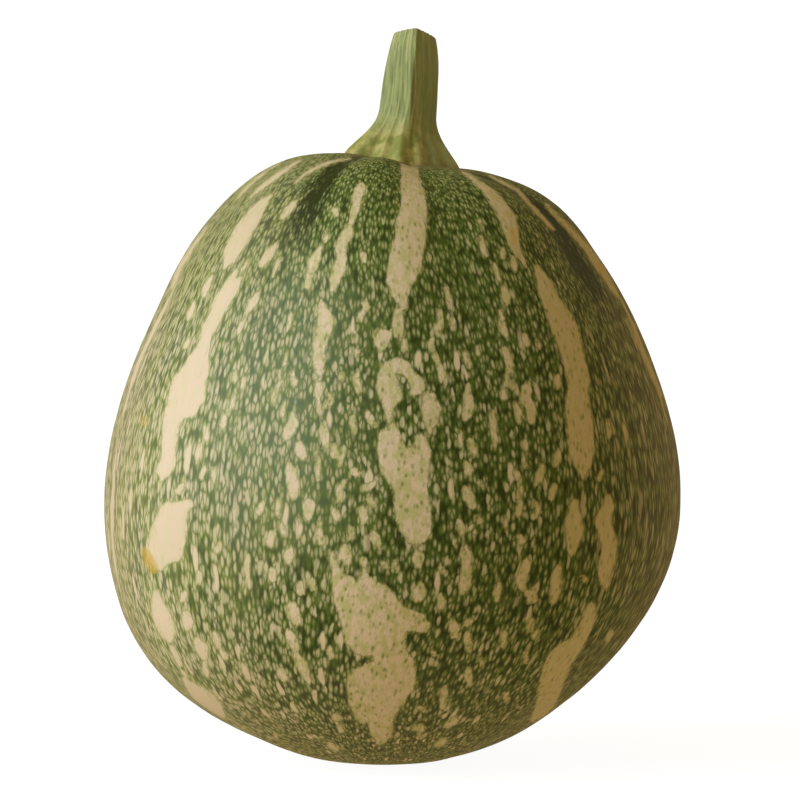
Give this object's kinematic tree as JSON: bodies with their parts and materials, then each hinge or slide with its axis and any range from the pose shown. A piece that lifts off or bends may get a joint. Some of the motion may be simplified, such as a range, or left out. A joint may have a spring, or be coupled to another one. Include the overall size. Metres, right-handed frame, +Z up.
{
  "type": "squash",
  "caption": "Whole winter squash, rounded and taller than it is wide, with shallow ribs, a mottled green and cream rind and a short, flared, angled stalk; it stands on its blossom end.",
  "frame": {"origin": "on the ground below the middle of the fruit, at the centre of the bounding box's lowest face", "axes": "+Z up, from the blossom end to the stalk; -Y is the side that the picture shows; +X is that view's right"},
  "size_m": [0.1793, 0.1794, 0.2274],
  "materials": {
    "rind": "satin",
    "stalk": "matte"
  },
  "bodies": {
    "root": {"fruit": "rind", "stem": "stalk"}
  },
  "joints": []
}
